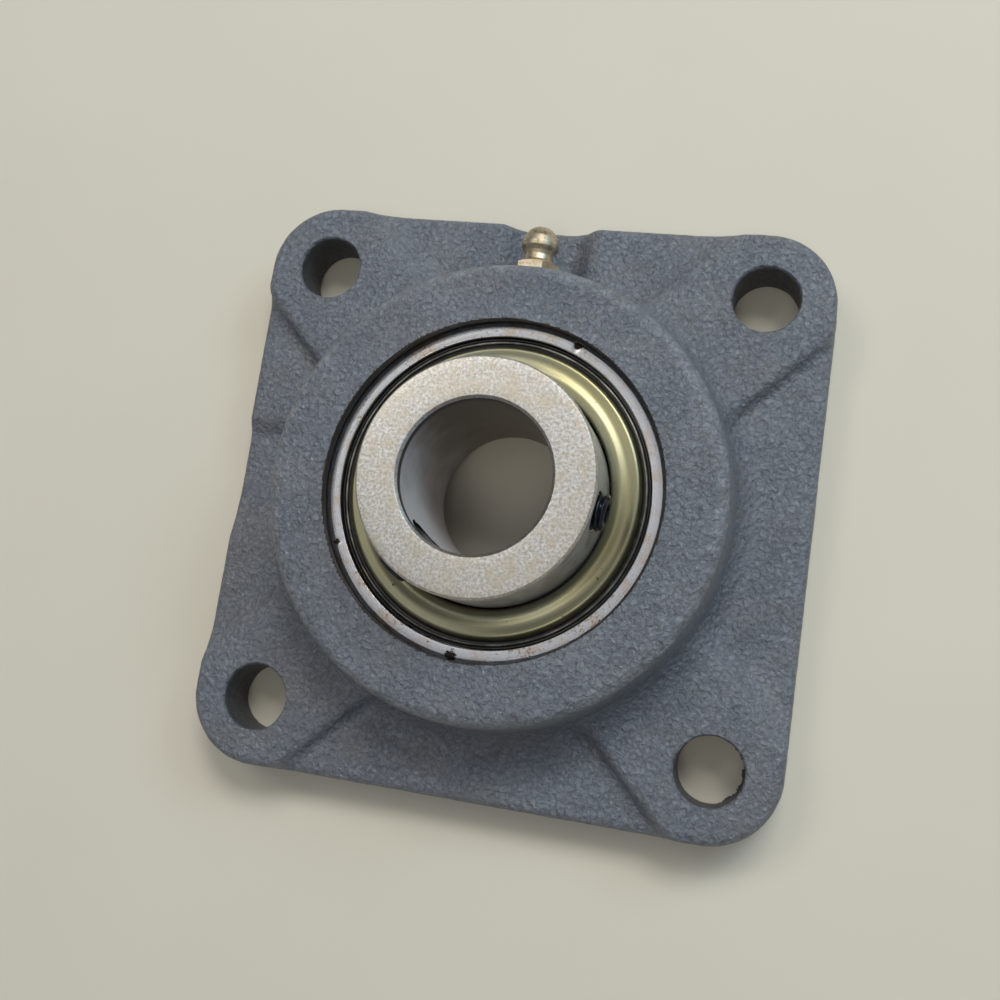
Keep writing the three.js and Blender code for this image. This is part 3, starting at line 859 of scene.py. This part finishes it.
def fitting_outline():
    """Nipple outside and stepped bore, as distances from the shaft axis along the fitting."""
    low, tip = FITTING_LOW[1], FITTING_HIGH[1]
    thread = thread_outline(2.82, low + 0.4, 40.2, 0.8, 0.35)
    return rounded([
        (1.0, low, 0), (2.3, low, 0), *thread, (2.5, 40.6, 0), (3.5, 42.6, 0), (3.5, 43.35, 0.25),
        (2.75, 43.75, 0.3), (2.6, 44.9, 0.5), (2.75, 45.6, 0.3), (3.36, 46.35, 0.22),
        (3.4, 47.15, 0.5), (3.12, 48.3, 0.8), (2.45, 49.5, 0.8), (1.75, tip, 0.25),
        (0.95, tip, 0.15), (0.9, tip - 1.0, 0), (1.5, tip - 1.7, 0.2), (1.5, low + 1.5, 0),
        (1.0, low + 1.5, 0),
    ])


def grease_fitting_body():
    body = lathe("grease_fitting_fine", fitting_outline(), 96)
    combine(body, hexagon(HEX_BOTTOM, HEX_TOP), "UNION", 30)
    return transform(body, along_y())


CHECK_BALL_Y = 47.7
CHECK_BALL_RADIUS = 1.2
SPRING_START = 37.4
SPRING_END = 46.1


def check_spring(name):
    """Round-wire spring with closed ends, along the fitting's axis."""
    turns, radius, wire = 7, 1.0, 0.2
    steps, sides = turns * 28, 10
    points = []
    for i in range(steps + 1):
        t = i / steps
        angle = 2 * math.pi * turns * t
        closing = np.clip((t * turns - 0.9) / (turns - 1.8), 0, 1)
        height = SPRING_START + wire + (SPRING_END - SPRING_START - 2 * wire) * (0.09 * t + 0.91 * closing)
        outward = np.array([math.cos(angle), math.sin(angle), 0])
        for k in range(sides):
            turn = 2 * math.pi * k / sides
            points.append(outward * (radius + wire * math.cos(turn)) + [0, 0, height + wire * math.sin(turn)])
    faces = sweep_quads(steps + 1, sides)
    faces += [list(range(sides)), list(range(steps * sides, (steps + 1) * sides))[::-1]]
    return transform(mesh_object(name, points, faces, 50), along_y())


# ---- materials


class Shading:
    """One material's node tree, with short calls for the nodes that it uses."""

    def __init__(self, name):
        self.material = bpy.data.materials.new(name)
        self.material.use_nodes = True
        self.tree = self.material.node_tree
        self.surface = self.tree.nodes["Principled BSDF"]
        place = self.add("ShaderNodeTexCoord").outputs["Object"]
        self.mm = self.vector("MULTIPLY", place, (1 / MM,) * 3)

    def add(self, kind, inputs=None, **settings):
        """A node with its settings made and its inputs fed, by index or name."""
        made = self.tree.nodes.new(kind)
        for key, value in settings.items():
            setattr(made, key, value)
        for key, value in (inputs or {}).items():
            self.feed(made.inputs[key], value)
        return made

    def feed(self, socket, value):
        if isinstance(value, bpy.types.NodeSocket):
            self.tree.links.new(value, socket)
        else:
            socket.default_value = value

    def vector(self, operation, a, b):
        return self.add("ShaderNodeVectorMath", {0: a, 1: b}, operation=operation).outputs[0]

    def math(self, operation, a, b):
        return self.add("ShaderNodeMath", {0: a, 1: b}, operation=operation).outputs[0]

    def times(self, a, b):
        return self.math("MULTIPLY", a, b)

    def plus(self, a, b):
        return self.math("ADD", a, b)

    def noise(self, scale, detail=3.0, rough=0.55, at=None, distortion=0.0):
        """Noise with scale lumps to each millimetre."""
        inputs = {"Vector": at or self.mm, "Scale": scale, "Detail": detail, "Roughness": rough}
        return self.add("ShaderNodeTexNoise", {**inputs, "Distortion": distortion}).outputs[0]

    def soft_cells(self, scale):
        inputs = {"Vector": self.mm, "Scale": scale}
        return self.add("ShaderNodeTexVoronoi", inputs, feature="SMOOTH_F1").outputs["Distance"]

    def spot(self, middle, size):
        """1 at a place in millimetres, falling to 0 at about size from it, with a ragged edge."""
        away = self.add("ShaderNodeVectorMath", {0: self.mm, 1: middle}, operation="DISTANCE")
        ragged = self.plus(away.outputs["Value"], self.times(self.noise(1.8), 2 * size))
        return self.between(ragged, size * 2.15, size * 1.85)

    def between(self, value, low, high):
        """Goes smoothly from 0 at low to 1 at high; low may be the greater."""
        inputs = {"Value": value, "From Min": low, "From Max": high}
        return self.add("ShaderNodeMapRange", inputs, interpolation_type="SMOOTHSTEP").outputs[0]

    def spread(self, value, low, high):
        """Maps 0 to 1 onto low to high."""
        inputs = {"Value": value, "To Min": low, "To Max": high}
        return self.add("ShaderNodeMapRange", inputs).outputs[0]

    def mix(self, factor, a, b):
        a, b = [(*c, 1) if isinstance(c, tuple) else c for c in (a, b)]
        return self.add("ShaderNodeMix", {0: factor, 6: a, 7: b}, data_type="RGBA").outputs[2]

    def tint(self, body, color, mask, amount):
        """Lays a colour over body, by amount where mask is 1."""
        return self.mix(self.times(mask, amount), body, color)

    def axes(self):
        """X, Y and Z in millimetres."""
        return self.add("ShaderNodeSeparateXYZ", {0: self.mm}).outputs

    def flat_length(self, vector):
        """Length of a vector's X and Y."""
        flat = self.vector("MULTIPLY", vector, (1, 1, 0))
        return self.add("ShaderNodeVectorMath", {0: flat}, operation="LENGTH").outputs["Value"]

    def lines(self, radial, turning, lift, scale=1.0, detail=3.0, rough=0.55):
        """Noise with its lumps drawn out about the shaft axis: out from it, round it and along it."""
        x, y, z = self.axes()
        scaled = {
            "X": self.times(self.flat_length(self.mm), radial),
            "Y": self.times(self.math("ARCTAN2", y, x), turning),
            "Z": self.times(z, lift),
        }
        around = self.add("ShaderNodeCombineXYZ", scaled).outputs[0]
        return self.noise(scale, detail, rough, at=around)

    def bump(self, height, depth, below=None):
        """Raises the surface by up to depth millimetres, on top of another bump."""
        inputs = {"Distance": depth * MM, "Height": height}
        if below:
            inputs["Normal"] = below
        return self.add("ShaderNodeBump", inputs).outputs[0]

    def finish(self, color, metallic, roughness, normal):
        """Feeds the surface, and gives the material."""
        inputs = {"Base Color": color, "Metallic": metallic, "Roughness": roughness, "Normal": normal}
        for name, value in inputs.items():
            self.feed(self.surface.inputs[name], value)
        return self.material


def cast_iron(s):
    """Blue-grey sand-cast skin: crinkled and pitted, with painted shade down the bolt holes' walls and a
    painted highlight along the hub shoulder.
    """
    crinkle = s.noise(1.15, 5.0, 0.62, distortion=0.9)
    pits = s.between(s.soft_cells(1.1), 0.1, 0.7)
    fine = s.noise(4.0, 3.0, 0.6)
    cloud = s.noise(0.09, 3.0)
    body = s.mix(s.between(crinkle, 0.3, 0.7), (0.158, 0.172, 0.199), (0.254, 0.276, 0.318))
    body = s.tint(body, (0.13, 0.138, 0.16), s.between(fine, 0.5, 0.7), 0.25)
    body = s.tint(body, (0.25, 0.235, 0.22), s.between(cloud, 0.45, 0.68), 0.25)
    specks = s.between(s.noise(3.1, 1.0, 0.4), 0.71, 0.76)
    body = s.tint(body, (0.6, 0.58, 0.54), specks, 0.5)
    rust = s.between(s.noise(0.8, 4.0, 0.7, distortion=0.5), 0.66, 0.74)
    body = s.tint(body, (0.24, 0.14, 0.08), rust, 0.3)
    z = s.axes()["Z"]
    # Painted shade: the bolt holes' walls are darkened below their rims, where shade falls inside the holes.
    from_hole = s.vector("SUBTRACT", s.vector("ABSOLUTE", s.mm, (0, 0, 0)), (*BOLT_CENTRES[0][:2], 0))
    near_hole = s.between(s.flat_length(from_hole), BOLT_HOLE_RADIUS + 0.6, BOLT_HOLE_RADIUS + 0.25)
    painted_hole_shade = s.times(near_hole, s.between(z, PAD_TOP - 0.4, PAD_TOP - 1.6))
    body = s.tint(body, (0.075, 0.07, 0.068), painted_hole_shade, 0.7)
    # Painted highlight: a pale blue-grey band along the hub's rounded shoulder, broken up by noise.
    radius = s.flat_length(s.mm)
    outside = s.between(radius, HUB_SHOULDER_RADIUS - 2.8, HUB_SHOULDER_RADIUS - 1.8)
    painted_shoulder_highlight = s.times(outside, s.between(z, HUB_TOP - 2.2, HUB_TOP - 1.2))
    painted_shoulder_highlight = s.times(painted_shoulder_highlight, s.between(s.noise(0.5, 4.0, 0.7), 0.4, 0.75))
    body = s.tint(body, (0.45, 0.49, 0.56), painted_shoulder_highlight, 0.45)
    relief = s.times(crinkle, s.spread(s.between(s.noise(0.13, 3.0), 0.35, 0.65), 0.8, 1.15))
    normal = s.bump(relief, 0.6)
    normal = s.bump(pits, 0.14, normal)
    normal = s.bump(fine, 0.07, normal)
    return s.finish(body, 0.4, s.spread(crinkle, 0.6, 0.38), normal)


def machined_iron(s):
    """Faced iron: grey with tool marks round the shaft axis and a little dull bloom."""
    lines = s.lines(5.0, 0.6, 5.0)
    patches = s.noise(0.12, 4.0)
    body = s.mix(patches, (0.2, 0.2, 0.205), (0.33, 0.325, 0.32))
    stain = s.between(s.noise(0.35, 5.0, 0.7), 0.62, 0.72)
    body = s.tint(body, (0.16, 0.09, 0.05), stain, 0.5)
    return s.finish(body, 0.8, s.spread(lines, 0.3, 0.52), s.bump(lines, 0.02))


def bored_iron(s):
    """The bored seat and mouth: iron painted near-black as shade, with turned lines."""
    lines = s.lines(5.0, 0.6, 5.0)
    seat_shade_tone = s.noise(0.3, 4.0, 0.6)
    # Painted shade: the seat and mouth are coloured near-black, as they lie in shade.
    body = s.mix(seat_shade_tone, (0.03, 0.027, 0.024), (0.085, 0.075, 0.066))
    return s.finish(body, 0.5, s.spread(lines, 0.4, 0.6), s.bump(lines, 0.02))


def ground_steel(s):
    """Ground outer ring: fine grinding lines, brown rust freckles, small black pits and dark nicks."""
    lines = s.lines(9.0, 1.2, 9.0, detail=2.0)
    body = s.mix(lines, (0.47, 0.475, 0.495), (0.62, 0.615, 0.625))
    zone = s.noise(0.09, 2.0)
    freckle = s.noise(1.9, 4.0, 0.7)
    tint = s.between(s.noise(0.3, 4.0, 0.65), 0.46, 0.64)
    body = s.tint(body, (0.5, 0.39, 0.29), tint, 0.55)
    rust = s.between(s.plus(freckle, s.times(zone, 0.35)), 0.75, 0.84)
    body = s.tint(body, (0.27, 0.15, 0.08), rust, 0.8)
    dark = s.between(s.noise(1.1, 2.0, 0.5), 0.7, 0.73)
    for angle, size, _ in RING_NICKS:
        turn = math.radians(angle)
        middle = (OUTER_FACE_RADIUS * math.cos(turn), OUTER_FACE_RADIUS * math.sin(turn), OUTER_HIGH[2])
        dark = s.math("MAXIMUM", dark, s.spot(middle, size * 1.25))
    body = s.mix(dark, body, (0.045, 0.035, 0.03))
    dull = s.math("MAXIMUM", s.times(rust, 0.7), dark)
    rough = s.plus(s.spread(lines, 0.22, 0.34), s.times(dull, 0.35))
    normal = s.bump(lines, 0.012)
    normal = s.bump(s.math("SUBTRACT", 1.0, dark), 0.05, normal)
    return s.finish(body, 1.0, rough, normal)


def inner_ring_steel(s):
    """Ground inner ring with a warm mottled stain, a speckle and a few rust dots."""
    lines = s.lines(11.0, 1.0, 11.0, detail=2.0)
    mottle = s.noise(1.9, 6.0, 0.78)
    patches = s.noise(0.42, 4.0, 0.6)
    cloud = s.noise(0.12, 3.0)
    body = s.mix(s.between(mottle, 0.38, 0.62), (0.7, 0.69, 0.672), (0.38, 0.35, 0.31))
    body = s.tint(body, (0.5, 0.435, 0.32), s.between(patches, 0.45, 0.68), 0.55)
    body = s.tint(body, (0.56, 0.48, 0.36), s.between(cloud, 0.42, 0.68), 0.3)
    dots = s.between(s.noise(1.7, 3.0, 0.6), 0.69, 0.75)
    body = s.tint(body, (0.32, 0.17, 0.1), dots, 0.6)
    rough = s.plus(s.spread(lines, 0.24, 0.36), s.times(mottle, 0.16))
    normal = s.bump(lines, 0.012)
    return s.finish(body, 0.92, rough, s.bump(mottle, 0.012, normal))


def ring_side_steel(s):
    """Turned outside of the inner ring: satin grey with brown patches."""
    lines = s.lines(2.0, 0.6, 6.0)
    film = s.noise(0.3, 4.0, 0.6)
    body = s.mix(lines, (0.5, 0.49, 0.475), (0.62, 0.605, 0.58))
    body = s.tint(body, (0.3, 0.25, 0.19), s.between(film, 0.4, 0.68), 0.5)
    return s.finish(body, 0.55, s.spread(lines, 0.36, 0.5), s.bump(lines, 0.015))


def bore_steel(s):
    """Honed bore: satin steel, painted darker and browner towards its +Y side as shade, with a dark edge."""
    lines = s.lines(2.0, 0.8, 4.5)
    film = s.noise(0.16, 4.0, 0.6)
    x, y, z = s.axes()
    # Painted shade: the bore wall turns from pale grey to dark brown towards +Y, the side that faces away
    # from the light.
    lean = s.plus(s.times(x, 0.4), y)
    painted_shade_side = s.between(s.plus(lean, s.times(film, 14.0)), -4.0, 16.0)
    body = s.mix(painted_shade_side, (0.72, 0.7, 0.71), (0.15, 0.125, 0.1))
    edge = s.between(z, INNER_HIGH[2] - 2.0, INNER_HIGH[2] - 1.5)
    body = s.mix(edge, body, (0.06, 0.058, 0.06))
    return s.finish(body, 0.15, s.spread(lines, 0.26, 0.44), s.bump(lines, 0.015))


def tapped_steel(s):
    """Walls of the set screws' holes: cut threads painted near-black as shade inside the holes."""
    hole_shade_tone = s.noise(1.2, 3.0)
    # Painted shade: the tapped walls are coloured almost black, as shade falls inside the holes.
    body = s.mix(hole_shade_tone, (0.012, 0.012, 0.013), (0.04, 0.036, 0.032))
    return s.finish(body, 0.3, s.spread(hole_shade_tone, 0.4, 0.6), s.bump(hole_shade_tone, 0.02))


def polished_steel(s):
    """Mirror-bright ball steel with hairline polishing marks."""
    marks = s.noise(3.0, 6.0, 0.7, distortion=2.0)
    body = s.mix(marks, (0.7, 0.71, 0.72), (0.78, 0.78, 0.79))
    return s.finish(body, 1.0, s.spread(marks, 0.05, 0.13), s.bump(marks, 0.002))


def pressed_steel(s):
    """Bright pressed sheet steel with faint rolling streaks and an oily film."""
    streaks = s.lines(1.0, 60.0, 1.0)
    film = s.noise(0.5, 3.0)
    body = s.mix(film, (0.5, 0.5, 0.5), (0.64, 0.62, 0.59))
    return s.finish(body, 1.0, s.spread(streaks, 0.24, 0.42), s.bump(streaks, 0.008))


def dull_steel(s):
    """Edge of the seal's steel shell: grey, greasy and dulled."""
    wear = s.lines(1.0, 9.0, 1.0, scale=0.9, detail=4.0, rough=0.6)
    body = s.mix(s.between(wear, 0.35, 0.7), (0.1, 0.095, 0.09), (0.3, 0.285, 0.26))
    return s.finish(body, 0.9, s.spread(wear, 0.5, 0.38), s.bump(wear, 0.02))


def seal_rubber(s):
    """Black nitrile rubber, satin, with mould grain and a trace of grease and dust."""
    fine = s.noise(5.0, 3.0)
    dust = s.between(s.noise(0.7, 4.0), 0.5, 0.75)
    body = s.mix(s.times(dust, 0.35), (0.016, 0.017, 0.018), (0.09, 0.085, 0.07))
    return s.finish(body, 0.0, s.spread(dust, 0.28, 0.6), s.bump(fine, 0.01))


def chromate_steel(s):
    """Yellow zinc chromate: gold turning to olive, with a soft sheen and a few handling marks."""
    drift = s.lines(1.4, 6.0, 1.0, scale=0.11, detail=2.0)
    fine = s.noise(2.4, 4.0, 0.6)
    streaks = s.lines(12.0, 1.5, 12.0, detail=2.0)
    body = s.mix(s.between(drift, 0.3, 0.7), (0.27, 0.268, 0.195), (0.34, 0.308, 0.165))
    body = s.tint(body, (0.3, 0.3, 0.25), s.between(fine, 0.42, 0.72), 0.45)
    marks = s.between(s.noise(0.9, 2.0), 0.72, 0.74)
    body = s.tint(body, (0.07, 0.06, 0.04), marks, 0.8)
    return s.finish(body, 1.0, s.spread(streaks, 0.3, 0.42), s.bump(streaks, 0.01))


def black_oxide(s):
    """Black oxide screw steel, lightly oiled, worn to bare metal in patches."""
    cloud = s.noise(0.8, 4.0)
    worn = s.between(s.noise(2.2, 4.0, 0.7), 0.64, 0.74)
    body = s.mix(cloud, (0.022, 0.024, 0.03), (0.045, 0.05, 0.062))
    body = s.tint(body, (0.2, 0.2, 0.21), worn, 0.4)
    return s.finish(body, 0.85, s.spread(cloud, 0.25, 0.42), s.bump(cloud, 0.02))


def fitting_brass(s):
    """Plated brass-coloured nipple: dull pale gold, browned in patches."""
    cloud = s.noise(0.5, 4.0)
    fine = s.noise(3.5, 3.0)
    body = s.mix(s.between(cloud, 0.35, 0.65), (0.6, 0.525, 0.41), (0.47, 0.38, 0.25))
    tarnish = s.between(s.noise(1.1, 4.0, 0.65), 0.5, 0.68)
    body = s.tint(body, (0.22, 0.145, 0.08), tarnish, 0.65)
    return s.finish(body, 0.9, s.spread(fine, 0.32, 0.5), s.bump(fine, 0.02))


MATERIAL_MAKERS = (
    cast_iron, machined_iron, bored_iron, ground_steel, inner_ring_steel, ring_side_steel,
    bore_steel, tapped_steel, dull_steel, polished_steel, pressed_steel, seal_rubber,
    chromate_steel, black_oxide, fitting_brass,
)
MATERIALS = {make.__name__: make(Shading(make.__name__)) for make in MATERIAL_MAKERS}


def finish_by_place(piece, names, finish_at):
    """Gives each face the material that finish_at names for the face's centre."""
    piece.data.materials.clear()
    for name in names:
        piece.data.materials.append(MATERIALS[name])
    for face in piece.data.polygons:
        face.material_index = names.index(finish_at(face.center / MM))
    return piece


def place(piece, body, slot, node=None, material=None):
    """Gives a piece its material, sets it on its body and hides the CAD node that it stands in for; slot is
    not used.
    """
    if material:
        piece.data.materials.clear()
        piece.data.materials.append(MATERIALS[material])
    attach(piece, body)
    if node:
        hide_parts(node)
    return piece


def build_frame_body():
    body = finish_by_place(housing(), ("cast_iron", "machined_iron", "bored_iron"), housing_finish)
    place(body, "frame", "cast_housing", "housing")
    place(grease_fitting_body(), "frame", "fitting_brass", "grease_fitting_body", "fitting_brass")
    spring = check_spring("check_spring_fine")
    place(spring, "frame", "pressed_steel", "grease_check_spring", "pressed_steel")
    ball = quad_sphere("check_ball_fine", CHECK_BALL_RADIUS, (0, CHECK_BALL_Y, BEARING_Z), 8)
    place(ball, "check_ball", "ball_steel", "grease_check_ball", "polished_steel")
    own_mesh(spring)


def build_insert():
    place(outer_ring(), "insert", "ground_ring", "outer_ring", "ground_steel")
    sides = (("front", lambda outline: outline), ("back", mirror_outline))
    for side, facing in sides:
        seal = lathe(f"{side}_seal_fine", facing(seal_outline()), 192, BEARING_Z)
        place(seal, "insert", "seal_rubber", f"{side}_seal", "seal_rubber")
        rim = lathe(f"{side}_seal_rim", facing(seal_rim_outline()), 192, BEARING_Z)
        place(rim, "insert", "pressed_steel", None, "dull_steel")
        flinger = lathe(f"{side}_flinger_fine", facing(flinger_outline()), 192, BEARING_Z)
        place(flinger, "shaft_ring", "chromate_steel", f"{side}_flinger", "chromate_steel")
    ring = finish_by_place(inner_ring(), INNER_RING_FINISHES, inner_ring_finish)
    place(ring, "shaft_ring", "inner_ring_steel", "inner_ring")
    for i, (axis, end) in enumerate(zip(SCREW_AXES, SCREW_ENDS), 1):
        screw = set_screw(f"set_screw_{i}_fine", axis, end)
        place(screw, f"screw_{i}", "black_steel", f"set_screw_{i}", "black_oxide")


def build_balls():
    for side, name in ((1, "cage_front"), (-1, "cage_back")):
        place(cage_half(f"{name}_fine", side), "cage", "pressed_steel", name, "pressed_steel")
    for i in range(BALL_COUNT):
        ball = quad_sphere(f"ball_{i + 1}_fine", BALL_RADIUS, on_pitch_circle(i))
        place(ball, f"roller_{i + 1}", "ball_steel", f"ball_{i + 1}", "polished_steel")
        pin = rivet(f"cage_rivet_{i + 1}_fine", i)
        place(pin, "cage", "pressed_steel", f"cage_rivet_{i + 1}", "pressed_steel")


# ---- stage, light and camera


CAMERA_PLACE = (0.047168, -0.028635, 0.212790)
CAMERA_TURN = (9.830, 12.136, 8.714)  # Euler angles in degrees
CAMERA_LENS = 41.874
FLOOR_RADIUS = 2500
WORLD_STRENGTH = 0.14


def add_camera():
    data = bpy.data.cameras.new("camera")
    data.lens = CAMERA_LENS
    data.sensor_width = 36.0
    data.clip_start = 0.01
    camera = add_object("camera", data)
    camera.location = CAMERA_PLACE
    camera.rotation_euler = [math.radians(a) for a in CAMERA_TURN]
    bpy.context.scene.camera = camera


def add_floor():
    """A wide pale floor under the mounting face."""
    s = Shading("floor_paint")
    cloud = s.noise(0.02, 2.0)
    body = s.mix(cloud, (0.7, 0.655, 0.54), (0.74, 0.695, 0.59))
    paint = s.finish(body, 0.0, 0.7, s.bump(s.noise(0.8, 2.0), 0.01))
    points, faces = lathe_data([(0, 0), (FLOOR_RADIUS, 0)], 64)
    floor = mesh_object("floor", points, faces[: len(faces) // 2])
    floor.data.materials.append(paint)


LIGHT_DISTANCE = 1.2
SOFTBOXES = (  # name, azimuth, elevation, width and height in metres, watts, colour
    ("key", 72, 54, (0.55, 0.36), 6.2, (1.0, 0.985, 0.94)),
    ("back_left", 140, 56, (0.5, 0.34), 2.0, (1.0, 0.99, 0.94)),
    ("right", 42, 36, (0.5, 0.36), 3.5, (0.61, 0.84, 1.0)),
    ("window", -25, 28, (0.6, 0.4), 0.5, (0.6, 0.78, 1.0)),
    ("high", -80, 70, (0.3, 0.3), 1.5, (1.0, 0.96, 0.86)),
    ("front_left", 215, 25, (0.6, 0.4), 0.3, (1.0, 0.95, 0.88)),
    ("ceiling", 150, 79, (0.4, 0.4), 0.35, (0.9, 0.94, 1.0)),
)


def add_softbox(name, azimuth, elevation, size, power, color):
    data = bpy.data.lights.new(name, "AREA")
    data.shape = "RECTANGLE"
    data.size, data.size_y = size
    data.energy = power
    data.color = color
    light = add_object(name, data)
    turn, rise = math.radians(azimuth), math.radians(elevation)
    outward = Vector((math.cos(turn) * math.cos(rise), math.sin(turn) * math.cos(rise), math.sin(rise)))
    light.location = outward * LIGHT_DISTANCE
    light.rotation_euler = outward.to_track_quat("Z", "Y").to_euler()


def add_lights():
    for softbox in SOFTBOXES:
        add_softbox(*softbox)
    world = bpy.data.worlds.new("studio")
    world.use_nodes = True
    sky = world.node_tree.nodes["Background"]
    sky.inputs["Color"].default_value = (0.86, 0.9, 1.0, 1)
    sky.inputs["Strength"].default_value = WORLD_STRENGTH
    bpy.context.scene.world = world
    bpy.context.scene.view_settings.view_transform = "Standard"


add_camera()
add_floor()
add_lights()
build_frame_body()
build_insert()
build_balls()
